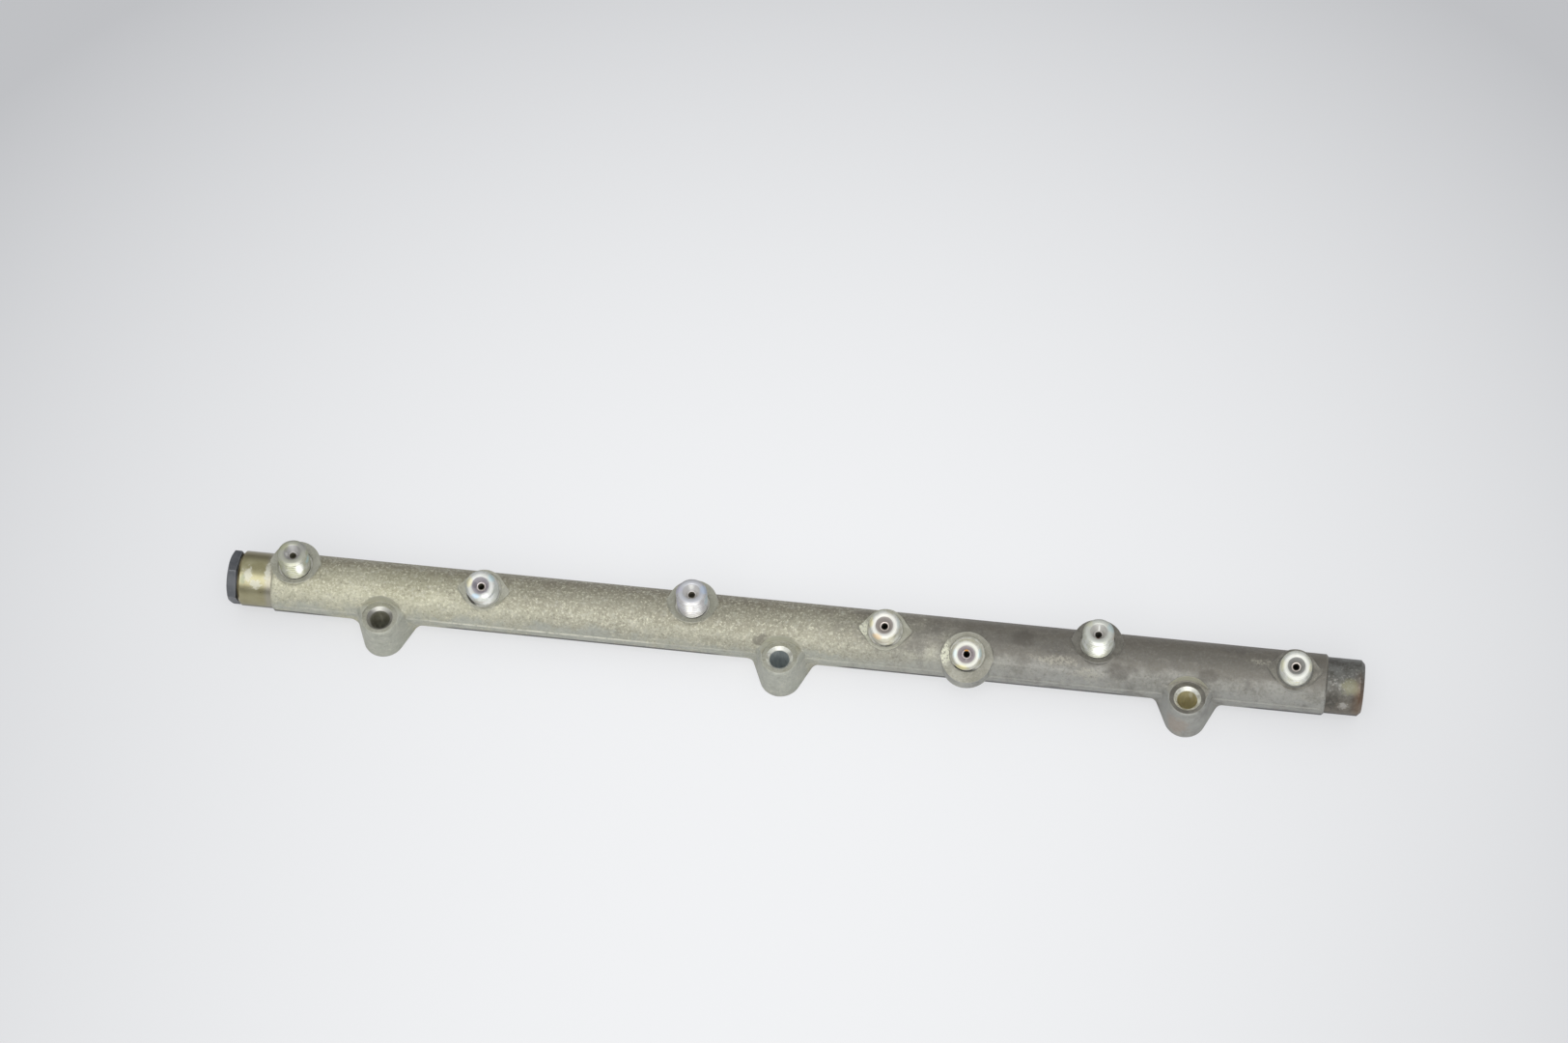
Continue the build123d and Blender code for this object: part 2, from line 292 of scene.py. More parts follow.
def forged_skin():
    """The rail's blasted and plated skin: warm and pale on the left, dull and smudged on the right."""
    p = Paint("forged_skin")
    broad = p.noise(0.03, 3.0, 0.6, shift=3.1)
    cloud = p.noise(0.12, 4.0, 0.6, shift=7.7)
    mottle = p.noise(0.35, 4.0, 0.65, shift=9.2)
    grain = p.noise(0.85, 4.0, 0.75)
    wander = p.sum("SUBTRACT", cloud, 0.5)
    along = p.sum("ADD", p.x, p.times(wander, 100.0))
    across = p.sum("ADD", p.y, p.times(wander, 8.0))
    middle = p.rise(along, -175.0, -90.0)
    right = p.rise(along, 5.0, 110.0)
    far = p.rise(across, 14.0, 25.0)
    near = p.rise(across, 5.5, 2.5)

    pale = p.rise(broad, 0.35, 0.65)
    warm = p.mix(pale, (0.43, 0.415, 0.295), (0.50, 0.485, 0.36))
    plain = p.mix(pale, (0.345, 0.33, 0.25), (0.41, 0.395, 0.305))
    cool = p.mix(pale, (0.27, 0.265, 0.235), (0.33, 0.325, 0.295))
    colour = p.mix(right, p.mix(middle, warm, plain), cool)

    # Grey film over the upper half on the right, and brown oil along the far edge
    film = p.times(right, p.rise(across, 5.5, 11.0))
    colour = p.mix(p.times(film, 0.82), colour, (0.135, 0.124, 0.103))
    darkened = p.times(far, p.sum("SUBTRACT", 0.62, p.times(right, 0.3)))
    colour = p.mix(darkened, colour, (0.16, 0.132, 0.09))

    # Duller from painted shade above the crown and paler from a painted highlight on it, on the left
    # half
    left = p.sum("SUBTRACT", 1.0, right)
    upper_shade = p.times(p.span(across, 9.5, 18.5, 2.5), left)
    colour = p.mix(p.times(upper_shade, 0.2), colour, (0.15, 0.13, 0.09))
    crown_highlight = p.times(p.span(across, 4.6, 7.8, 1.6), left)
    colour = p.mix(p.times(crown_highlight, 0.22), colour, (0.66, 0.64, 0.52))
    clean = p.mix(right, (0.40, 0.41, 0.365), (0.33, 0.33, 0.305))
    colour = p.mix(p.times(near, 0.8), colour, clean)

    # Dark smudges, mostly on the right half
    smudge = p.rise(p.noise(0.075, 4.0, 0.65, shift=11.0), 0.52, 0.68)
    smudge = p.times(smudge, p.sum("ADD", 0.12, p.times(right, 0.75)))
    colour = p.mix(p.times(smudge, 0.5), colour, (0.115, 0.107, 0.095))
    pale_spots = p.times(p.rise(mottle, 0.5, 0.68), p.sum("SUBTRACT", 0.3, p.times(film, 0.2)))
    colour = p.mix(pale_spots, colour, p.mix(right, (0.58, 0.57, 0.49), (0.45, 0.43, 0.37)))
    colour = p.mix(p.times(p.rise(mottle, 0.47, 0.32), 0.25), colour, (0.17, 0.16, 0.125))

    # Bright grains, partly a painted sparkle, and dark grains of the blasted surface, smoother on the
    # near side
    share = p.sum("SUBTRACT", 1.0, p.times(near, 0.6))
    glint = p.times(p.rise(grain, 0.52, 0.66), share, p.sum("SUBTRACT", 0.75, p.times(right, 0.3)))
    glint = p.times(glint, p.sum("SUBTRACT", 1.0, p.times(film, 0.7)))
    colour = p.mix(glint, colour, p.mix(right, (0.70, 0.68, 0.53), (0.40, 0.385, 0.34)))
    colour = p.mix(p.times(p.rise(grain, 0.48, 0.30), share, 0.55), colour, (0.14, 0.125, 0.09))
    stain = p.most(
        p.patch((107.0, 18.0, 27.0), (10.0, 5.0, 7.0), 0.7, 0.2),
        p.patch((152.0, 8.0, 24.0), (9.0, 3.5, 7.0), 0.8, 0.25, shift=3.0),
        p.patch((190.0, 9.0, 25.0), (6.0, 3.5, 7.0), 0.8, 0.3, shift=6.0),
        p.patch((-9.0, 6.5, 22.0), (4.5, 3.0, 6.0), 0.8, 0.4, shift=9.0),
    )
    colour = p.mix(p.times(stain, 0.5), colour, (0.085, 0.075, 0.062))
    light_spots = p.most(
        p.patch((123.0, 9.5, 25.0), (12.0, 2.6, 6.0), 0.9, 0.4, shift=2.0),
        p.patch((137.0, 6.0, 22.0), (10.0, 2.4, 6.0), 0.9, 0.4, shift=5.0),
        p.patch((214.0, 17.5, 27.0), (9.0, 2.0, 6.0), 0.9, 0.5, shift=7.0),
    )
    colour = p.mix(p.times(light_spots, p.rise(grain, 0.4, 0.6), 0.6), colour, (0.40, 0.38, 0.31))
    rust = p.patch((176.0, -8.0, 8.0), (9.0, 6.0, 9.0), 0.6, 0.25, shift=8.0)
    colour = p.mix(p.times(rust, 0.35), colour, (0.34, 0.24, 0.17))
    # Painted shade in corners and hollows
    corner_shade = p.times(p.rise(p.crevice(5.0), 0.35, 0.9), 0.35)
    colour = p.mix(corner_shade, colour, (0.08, 0.07, 0.05))
    rubbed = p.mix(right, (0.66, 0.65, 0.56), (0.50, 0.49, 0.44))
    colour = p.mix(p.times(p.worn(0.7), 0.35), colour, rubbed)

    # Bright broken line where the flash was trimmed, on the near side, with a painted highlight along
    # its edge
    line = p.times(p.span(p.z, 15.2, 15.6, 0.25), p.rise(p.y, 4.3, 3.3))
    breaks = p.noise(0.35, 3.0, 0.6, stretch=(1.0, 0.2, 0.2), shift=3.0)
    line = p.times(line, p.span(p.x, -158.0, -58.0, 8.0), p.rise(breaks, 0.3, 0.5))
    colour = p.mix(p.times(line, 0.9), colour, (0.80, 0.78, 0.66))
    # Painted shade along the underside: a dark line under the near edge
    colour = p.mix(p.times(p.painted_underside_shade(), 0.85), colour, (0.045, 0.045, 0.05))

    normal = p.bump(p.times(grain, share), 0.22, p.rounded(1.1))
    normal = p.bump(cloud, 0.5, normal)
    roughness = p.sum("ADD", 0.42, p.times(grain, 0.15))
    return p.metal(colour, roughness, 0.45, normal)


def faced_zinc():
    """Faces cut square to the stubs and bolts, nearly as dull as the skin round them."""
    p = Paint("faced_zinc")
    cloud = p.noise(0.16, 4.0, 0.6, shift=2.2)
    grain = p.noise(1.1, 4.0, 0.7, shift=5.0)
    right = p.rise(p.x, 40.0, 130.0)
    colour = p.mix(p.rise(cloud, 0.35, 0.65), (0.32, 0.315, 0.25), (0.39, 0.385, 0.32))
    dull = p.mix(p.rise(cloud, 0.35, 0.65), (0.13, 0.122, 0.102), (0.21, 0.20, 0.17))
    colour = p.mix(right, colour, dull)
    pale = p.sum("SUBTRACT", 0.5, p.times(right, 0.3))
    colour = p.mix(p.times(p.rise(grain, 0.52, 0.72), pale), colour, (0.62, 0.60, 0.48))
    colour = p.mix(p.times(p.rise(grain, 0.46, 0.32), 0.4), colour, (0.16, 0.145, 0.105))
    granular = p.most(
        p.patch((35.5, 13.0, 27.0), (5.0, 7.0, 6.0), 0.5, 0.5),
        p.patch((73.0, 8.0, 24.0), (4.5, 7.0, 6.0), 0.5, 0.5, shift=2.0),
    )
    colour = p.mix(p.times(granular, p.rise(grain, 0.38, 0.55), 0.85), colour, (0.66, 0.66, 0.52))
    # Painted shade in corners and hollows
    corner_shade = p.times(p.rise(p.crevice(2.0), 0.45, 0.95), 0.3)
    colour = p.mix(corner_shade, colour, (0.10, 0.09, 0.06))
    rubbed = p.mix(right, (0.70, 0.69, 0.57), (0.46, 0.45, 0.40))
    colour = p.mix(p.times(p.worn(0.4), 0.5), colour, rubbed)
    normal = p.bump(grain, 0.12, p.rounded(0.35))
    return p.metal(colour, p.sum("ADD", 0.36, p.times(grain, 0.2)), 0.45, normal)


def recess_zinc():
    """The recess round each thread's root, painted pale against its own shade, darkened by painted
    shade on the right, and with painted shadows under three of the stubs.
    """
    p = Paint("recess_zinc")
    cloud = p.noise(0.4, 4.0, 0.6, shift=2.9)
    # Pale base: painted light that lifts the recess's own shade
    colour = p.mix(p.rise(cloud, 0.35, 0.65), (0.66, 0.65, 0.56), (0.86, 0.85, 0.78))
    # Painted shade round the stubs on the right
    right = p.rise(p.x, 100.0, 180.0)
    colour = p.mix(p.times(right, 0.75), colour, (0.17, 0.165, 0.15))
    # Painted shadows of three stubs on their recesses
    darkened = p.most(
        p.patch((-141.2, 10.8, 24.0), (3.6, 4.6, 3.4), 0.4, 0.4),
        p.patch((81.5, 3.0, 18.8), (8.0, 3.4, 3.6), 0.3, 0.4, shift=2.0),
        p.patch((46.0, 11.0, 23.5), (5.0, 3.0, 3.0), 0.5, 0.4, shift=4.0),
    )
    colour = p.mix(p.times(darkened, 0.9), colour, (0.04, 0.035, 0.028))
    return p.metal(colour, 0.4, 0.2, p.bump(cloud, 0.05))


def lug_zinc():
    """The lug's flat top and the relief behind the bolt, worn paler than the skin round them, with the
    relief's wall painted pale against its own shade.
    """
    p = Paint("lug_zinc")
    cloud = p.noise(0.2, 4.0, 0.6, shift=6.6)
    grain = p.noise(0.9, 4.0, 0.7, shift=1.2)
    right = p.rise(p.x, -60.0, 140.0)
    colour = p.mix(p.rise(cloud, 0.35, 0.65), (0.36, 0.35, 0.26), (0.42, 0.42, 0.35))
    dull = p.mix(p.rise(cloud, 0.35, 0.65), (0.24, 0.225, 0.19), (0.31, 0.30, 0.26))
    colour = p.mix(right, colour, dull)
    colour = p.mix(p.times(p.rise(grain, 0.52, 0.72), 0.4), colour, (0.60, 0.58, 0.47))
    # Painted light on the relief's wall, against its own shade
    painted_light_wall = p.rise(p.z, RELIEF_LEVEL + 0.1, RELIEF_LEVEL + 0.6)
    colour = p.mix(p.times(painted_light_wall, 0.75), colour, (0.66, 0.65, 0.52))
    normal = p.bump(grain, 0.1, p.rounded(0.5))
    return p.metal(colour, p.sum("ADD", 0.4, p.times(grain, 0.15)), 0.4, normal)


def bright_rim():
    """Chamfers round the bolt holes, rubbed bright by the bolts, with a painted highlight on their far
    side.
    """
    p = Paint("bright_rim")
    cloud = p.noise(0.45, 4.0, 0.65, shift=3.7)
    left = p.rise(p.x, -60.0, -120.0)
    colour = p.mix(p.rise(cloud, 0.38, 0.6), (0.50, 0.49, 0.43), (0.80, 0.80, 0.73))
    colour = p.mix(p.times(left, 0.85), colour, (0.23, 0.22, 0.20))
    # Painted highlight on the chamfer's far side
    far_side_highlight = p.rise(p.y, 2.5, 5.0)
    colour = p.mix(p.times(far_side_highlight, 0.5), colour, (0.90, 0.89, 0.80))
    normal = p.bump(cloud, 0.06, p.rounded(0.25))
    return p.metal(colour, p.sum("ADD", 0.3, p.times(cloud, 0.15)), 0.6, normal)


def turned_gold():
    """The left spigot, turned and plated yellow."""
    p = Paint("turned_gold")
    cloud = p.noise(0.2, 4.0, 0.6, shift=8.4)
    rings = p.noise(1.0, 2.0, 0.5, stretch=(6.0, 0.08, 0.08))
    colour = p.mix(p.rise(cloud, 0.35, 0.65), (0.30, 0.275, 0.155), (0.39, 0.365, 0.225))
    wander = p.times(p.sum("SUBTRACT", cloud, 0.5), 6.0)
    far = p.rise(p.sum("ADD", p.y, wander), 17.5, 24.5)
    colour = p.mix(p.times(far, 0.7), colour, (0.17, 0.14, 0.085))
    near = p.rise(p.y, 12.0, 7.0)
    colour = p.mix(p.times(near, 0.45), colour, (0.30, 0.27, 0.17))
    fade = p.rise(p.x, -237.5, -234.5)
    colour = p.mix(p.times(fade, 0.6), colour, (0.36, 0.34, 0.30))
    end = p.rise(p.x, -247.6, -249.0)
    colour = p.mix(p.times(end, 0.7), colour, (0.30, 0.23, 0.09))
    scuffs = p.most(
        p.patch((-244.5, 12.5, 25.0), (2.6, 4.2, 4.0), 1.1, 0.9),
        p.patch((-240.5, 8.6, 23.4), (3.0, 2.4, 4.0), 1.1, 0.9, shift=4.0),
        p.patch((-235.5, 14.5, 25.6), (1.6, 6.0, 4.0), 1.0, 0.8, shift=2.0),
    )
    colour = p.mix(p.times(scuffs, 0.6), colour, (0.72, 0.71, 0.61))
    green = p.patch((-246.6, 10.0, 24.6), (1.8, 3.0, 4.0), 0.6, 0.6, shift=9.0)
    colour = p.mix(p.times(green, 0.55), colour, (0.20, 0.23, 0.17))
    # Painted shade along the underside
    colour = p.mix(p.times(p.painted_underside_shade(), 0.8), colour, (0.05, 0.045, 0.03))
    normal = p.bump(rings, 0.02, p.rounded(0.3))
    roughness = p.sum("ADD", 0.24, p.times(scuffs, 0.25))
    return p.metal(colour, p.sum("ADD", roughness, p.times(cloud, 0.1)), 0.8, normal)


def turned_dark():
    """The right spigot, turned, stained dark and scratched."""
    p = Paint("turned_dark")
    cloud = p.noise(0.16, 5.0, 0.65, shift=6.1)
    fleck = p.noise(0.9, 4.0, 0.7, shift=3.3)
    rings = p.noise(1.0, 2.0, 0.5, stretch=(5.0, 0.08, 0.08), shift=2.0)
    colour = p.mix(p.rise(cloud, 0.35, 0.65), (0.085, 0.080, 0.068), (0.165, 0.165, 0.15))
    middle = p.span(p.y, 9.0, 21.0, 4.0)
    flecks = p.times(p.rise(fleck, 0.52, 0.66), p.sum("ADD", 0.25, p.times(middle, 0.6)))
    colour = p.mix(p.times(flecks, 0.75), colour, (0.33, 0.32, 0.29))
    rust = p.times(p.rise(p.x, 252.5, 257.5), p.rise(p.y, 22.0, 4.0))
    colour = p.mix(p.times(rust, 0.65), colour, (0.15, 0.075, 0.035))
    near = p.times(p.rise(p.y, 10.0, 4.0), p.rise(cloud, 0.3, 0.6))
    colour = p.mix(p.times(near, 0.5), colour, (0.22, 0.18, 0.13))
    yellow = p.patch((252.5, 11.0, 24.5), (5.0, 4.5, 6.0), 0.5, 0.4)
    colour = p.mix(p.times(yellow, 0.4), colour, (0.23, 0.22, 0.11))
    shine = p.patch((250.5, 5.2, 17.0), (2.6, 1.4, 3.0), 0.9, 0.8)
    colour = p.mix(p.times(shine, 0.55), colour, (0.52, 0.50, 0.46))
    # Painted shade along the underside
    colour = p.mix(p.times(p.painted_underside_shade(), 0.8), colour, (0.035, 0.03, 0.03))
    height = p.sum("ADD", p.times(rings, 0.3), p.times(fleck, 0.7))
    normal = p.bump(height, 0.06, p.rounded(0.4))
    return p.metal(colour, p.sum("ADD", 0.36, p.times(cloud, 0.2)), 0.6, normal)


def bore_steel():
    """Bolt holes, the right port and the long bore: darker metal, stained, and streaked with painted
    reflections.
    """
    p = Paint("bore_steel")
    cloud = p.noise(0.3, 4.0, 0.6, shift=1.9)
    streaks = p.noise(0.7, 3.0, 0.6, stretch=(1.0, 1.0, 0.12), shift=4.0)
    colour = p.mix(p.rise(cloud, 0.35, 0.65), (0.30, 0.29, 0.24), (0.50, 0.50, 0.45))
    # Painted reflection streaks down the walls
    colour = p.mix(p.times(p.rise(streaks, 0.5, 0.62), 0.7), colour, (0.82, 0.80, 0.68))
    left = p.rise(p.x, -150.0, -180.0)
    colour = p.mix(p.times(left, 0.5), colour, (0.26, 0.25, 0.15))
    mid = p.span(p.x, -30.0, 30.0, 10.0)
    colour = p.mix(p.times(mid, 0.6), colour, (0.46, 0.54, 0.58))
    yellow = p.span(p.x, 165.0, 200.0, 5.0)
    colour = p.mix(p.times(yellow, 0.7), colour, (0.78, 0.70, 0.38))
    # Painted highlight streak in the right bolt hole
    painted_streak = p.times(p.patch((183.5, 4.3, 15.0), (1.2, 1.2, 4.0), 0.3, 0.5), 0.8)
    colour = p.mix(painted_streak, colour, (0.95, 0.92, 0.75))
    return p.metal(colour, p.sum("ADD", 0.35, p.times(cloud, 0.2)), 0.45, p.bump(streaks, 0.05))


def thread_zinc(number, plating, film, ring_tone, cone_tone, foot_share, spots):
    """A stub's plated thread, tip and sealing cone, with this stub's stains and its painted
    highlights, glint and shadows.
    """
    p = Paint("thread_zinc_%d" % number)
    base, across, up = stub_frame(*STUBS[number - 1])
    move = p.tree.nodes.new("ShaderNodeVectorMath")
    move.operation = "SUBTRACT"
    p.tree.links.new(p.place, move.inputs[0])
    move.inputs[1].default_value = base
    dot = p.tree.nodes.new("ShaderNodeVectorMath")
    dot.operation = "DOT_PRODUCT"
    p.tree.links.new(move.outputs[0], dot.inputs[0])
    dot.inputs[1].default_value = up
    height = dot.outputs["Value"]
    cross = p.tree.nodes.new("ShaderNodeVectorMath")
    cross.operation = "CROSS_PRODUCT"
    p.tree.links.new(move.outputs[0], cross.inputs[0])
    cross.inputs[1].default_value = up
    length = p.tree.nodes.new("ShaderNodeVectorMath")
    length.operation = "LENGTH"
    p.tree.links.new(cross.outputs[0], length.inputs[0])
    radius = length.outputs["Value"]

    cloud = p.noise(0.25, 3.0, 0.6, shift=1.3 * number)
    fleck = p.noise(1.4, 3.0, 0.65, shift=2.1 * number)
    colour = p.mix(p.rise(cloud, 0.38, 0.62), plating, film)
    low = p.times(p.rise(height, 16.0, 12.0), 0.4)
    colour = p.mix(low, colour, (0.34, 0.33, 0.24))
    colour = p.mix(p.times(p.rise(fleck, 0.50, 0.34), 0.4), colour, (0.30, 0.28, 0.22))
    # Painted shade in the thread's grooves
    groove_shade = p.times(p.rise(radius, 6.85, 6.25), p.rise(height, TIP_HEIGHT - 0.9, TIP_HEIGHT - 1.2))
    colour = p.mix(p.times(groove_shade, 0.55), colour, (0.25, 0.235, 0.19))

    # Tip face with its fine turned rings
    ring = p.times(p.span(radius, 3.8, 5.95, 0.2), p.rise(height, TIP_HEIGHT - 0.9, TIP_HEIGHT - 0.5))
    colour = p.mix(p.times(ring, 0.8), colour, ring_tone)
    turned = p.sum("SINE", p.times(radius, 2 * math.pi / TURNED_STEP))
    tip = p.rise(height, TIP_HEIGHT - 1.3, TIP_HEIGHT - 1.0)
    line = p.times(p.rise(turned, 0.2, 0.9), tip, p.rise(radius, 4.0, 4.2))
    colour = p.mix(p.times(line, 0.22), colour, (0.34, 0.33, 0.28))

    # Sealing cone, paler at its foot, and painted shade down the drilling under it
    cone = p.times(p.rise(radius, 3.95, 3.8), p.rise(radius, 1.3, 1.5))
    colour = p.mix(p.times(cone, 0.85), colour, cone_tone)
    foot = p.times(p.span(radius, 1.5, SEAT_FOOT_RADIUS, 0.08), foot_share)
    colour = p.mix(foot, colour, (0.86, 0.79, 0.72))
    # Painted shade down the drilling
    drilling_shade = p.times(p.rise(height, 19.6, 18.9), p.rise(radius, 2.0, 1.6))
    colour = p.mix(drilling_shade, colour, (0.05, 0.035, 0.025))
    for turn, reach_out, level, reach, tone, share in spots:
        angle = math.radians(turn)
        out = Vector((math.cos(angle), 0.0, 0.0)) + across * math.sin(angle)
        spot = p.patch(base + out * reach_out + up * level, reach, 0.35, 0.5, shift=number + turn)
        colour = p.mix(p.times(spot, share), colour, tone)

    roughness = p.sum("ADD", 0.27, p.times(fleck, 0.16))
    roughness = p.sum("ADD", roughness, p.times(p.most(cone, ring), 0.16))
    relief = p.sum("ADD", p.times(fleck, 0.6), p.times(turned, tip, 0.2))
    return p.metal(colour, roughness, 0.8, p.bump(relief, 0.05))


def blued_steel():
    """The plug's dark blue-grey finish, worn pale along its edges, with painted shade on its
    underside.
    """
    p = Paint("blued_steel")
    cloud = p.noise(0.18, 4.0, 0.6, shift=4.4)
    fleck = p.noise(1.1, 3.0, 0.6, shift=0.7)
    colour = p.mix(p.rise(cloud, 0.35, 0.65), (0.085, 0.090, 0.098), (0.125, 0.130, 0.138))
    colour = p.mix(p.times(p.rise(fleck, 0.56, 0.7), 0.35), colour, (0.18, 0.18, 0.18))
    colour = p.mix(p.times(p.worn(0.45), 0.6), colour, (0.42, 0.43, 0.45))
    # Painted shade along the underside
    colour = p.mix(p.times(p.rise(p.z, 9.0, 6.0), 0.7), colour, (0.03, 0.032, 0.04))
    normal = p.bump(fleck, 0.03, p.rounded(0.45))
    return p.metal(colour, p.sum("ADD", 0.34, p.times(cloud, 0.12)), 0.55, normal)


def add_object(name, mesh):
    piece = bpy.data.objects.new(name, mesh)
    bpy.context.scene.collection.objects.link(piece)
    return piece


def smooth(mesh, angle):
    """Smooth faces, sharp where they meet at more than the angle."""
    normals = mesh.attributes.get("custom_normal")
    if normals:
        mesh.attributes.remove(normals)
    mesh.shade_smooth()
    mesh.set_sharp_from_angle(angle=math.radians(angle))


def forging():
    """The rail's own skin: the solid's faces without the plain stubs, each with its finish."""
    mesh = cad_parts["rail_body"].data.copy()
    mesh.name = "rail_forging"
    mesh.materials.clear()
    for make in (
        forged_skin,
        faced_zinc,
        turned_gold,
        turned_dark,
        bore_steel,
        bright_rim,
        lug_zinc,
        recess_zinc,
    ):
        mesh.materials.append(make())
    skin, faced, gold, dark, bore, rim, lug_face, recess = range(8)
    frames = [stub_frame(*stub) for stub in STUBS]
    shape = bmesh.new()
    shape.from_mesh(mesh)
    bmesh.ops.remove_doubles(shape, verts=shape.verts, dist=WELD)

    def stub_place(point, stub):
        """How far a point is from a stub's axis, and how high along it."""
        base, across, up = stub
        step = point / MM - base
        height = step.dot(up)
        return (step - up * height).length, height

    gone = []
    for face in shape.faces:
        centre = face.calc_center_median() / MM
        corners = [vert.co / MM for vert in face.verts]
        reach = [math.hypot(c.y - AXIS_Y, c.z - BODY_RADIUS) for c in corners]
        face.material_index = skin
        if max(reach) < SPIGOT_RADIUS + NEAR and centre.x < BODY_LEFT + NEAR:
            face.material_index = gold
        elif max(reach) < SPIGOT_RADIUS + NEAR and centre.x > BODY_RIGHT - NEAR:
            face.material_index = dark
        elif max(reach) < PORT_MOUTH_RADIUS + NEAR:
            face.material_index = bore
        nearest = min(frames, key=lambda stub: abs(stub[0].x - centre.x))
        places = [stub_place(vert.co, nearest) for vert in face.verts]
        if all(r < THREAD_RADIUS + NEAR and h > ROOT_HEIGHT - NEAR for r, h in places):
            gone.append(face)
        elif all(r < ROOT_GROOVE_RADIUS + NEAR and h > ROOT_HEIGHT - NEAR for r, h in places):
            face.material_index = recess
        elif all(abs(h - BOSS_FACE_HEIGHT) < NEAR for r, h in places):
            face.material_index = faced
        bolt = min(BOLTS, key=lambda x: abs(x - centre.x))
        round_bolt = [math.hypot(c.x - bolt, c.y) for c in corners]
        round_relief = [math.hypot(c.x - bolt, c.y + RELIEF_SHIFT) for c in corners]
        lowest = min(c.z for c in corners)
        if max(round_relief) < RELIEF_RADIUS + NEAR and lowest > RELIEF_LEVEL - NEAR:
            face.material_index = lug_face
        if max(round_bolt) < BOLT_HOLE_RADIUS + NEAR:
            face.material_index = bore
        elif max(round_bolt) < BOLT_HOLE_RADIUS + BOLT_CHAMFER + NEAR and lowest < LUG_TOP - NEAR:
            face.material_index = rim if centre.z > LUG_TOP / 2 else skin
        elif max(round_bolt) < SPOTFACE_RADIUS + NEAR and lowest > LUG_TOP - NEAR:
            face.material_index = faced
    bmesh.ops.delete(shape, geom=gone, context="FACES")
    shape.to_mesh(mesh)
    shape.free()
    smooth(mesh, 24.0)
    return add_object("rail_forging", mesh)


def pipe_stub(number, finish):
    """One stub's helical thread, chamfered tip and sealing cone, and its drilling down to the root."""
    base, across, up = stub_frame(*STUBS[number - 1])
    root = THREAD_RADIUS - THREAD_DEPTH
    crest = THREAD_RADIUS - CREST_PLAY
    tip_radius = THREAD_RADIUS - TIP_CHAMFER
    thread_top = TIP_HEIGHT - 2 * TIP_CROWN
    low = ROOT_HEIGHT - ROOT_SINK
    profile = [(0.0, root), (FLANK_START, root), (CREST_START, crest), (CREST_END, crest)]
    turns = math.ceil((thread_top - low) / THREAD_PITCH) + 1
    slope = math.tan(math.radians(SEAT_ANGLE / 2))
    seat_floor = TIP_HEIGHT - (SEAT_MOUTH_RADIUS - SEAT_FOOT_RADIUS) / slope
    rim = [
        (tip_radius, TIP_HEIGHT - TIP_CROWN),
        (tip_radius - 0.35, TIP_HEIGHT - 0.3 * TIP_CROWN),
        (tip_radius - 0.8, TIP_HEIGHT),
        (SEAT_MOUTH_RADIUS + 0.4, TIP_HEIGHT),
        (SEAT_MOUTH_RADIUS, TIP_HEIGHT - 0.15),
        (SEAT_MOUTH_RADIUS - 0.15, TIP_HEIGHT - 0.15 / slope),
        (SEAT_FOOT_RADIUS + 0.06, seat_floor + 0.06 / slope),
        (SEAT_FOOT_RADIUS - 0.04, seat_floor),
        (DRILLING_RADIUS + 0.08, seat_floor - 0.15),
        (DRILLING_RADIUS, seat_floor - 0.25),
        (DRILLING_RADIUS, low),
    ]
    shape = bmesh.new()
    columns = []
    for step in range(AROUND + 1):
        turn = step / AROUND
        rows = []
        for thread in range(-1, turns):
            for share, radius in profile:
                height = min(max(low + (thread + share + turn) * THREAD_PITCH, low), thread_top)
                rows.append((min(radius, tip_radius + TIP_HEIGHT - height), height))
        rows += rim
        angle = 2 * math.pi * turn
        out = Vector((math.cos(angle), 0.0, 0.0)) + across * math.sin(angle)
        columns.append([shape.verts.new((base + out * r + up * h) * MM) for r, h in rows])
    for first, second in zip(columns, columns[1:]):
        for row in range(len(first) - 1):
            shape.faces.new((first[row], second[row], second[row + 1], first[row + 1]))
    bmesh.ops.remove_doubles(shape, verts=shape.verts, dist=2 * WELD)
    bmesh.ops.dissolve_degenerate(shape, edges=shape.edges, dist=WELD)
    bmesh.ops.recalc_face_normals(shape, faces=shape.faces)
    mesh = bpy.data.meshes.new("pipe_stub_%d" % number)
    shape.to_mesh(mesh)
    shape.free()
    mesh.materials.append(finish)
    smooth(mesh, 28.0)
    return add_object("pipe_stub_%d" % number, mesh)


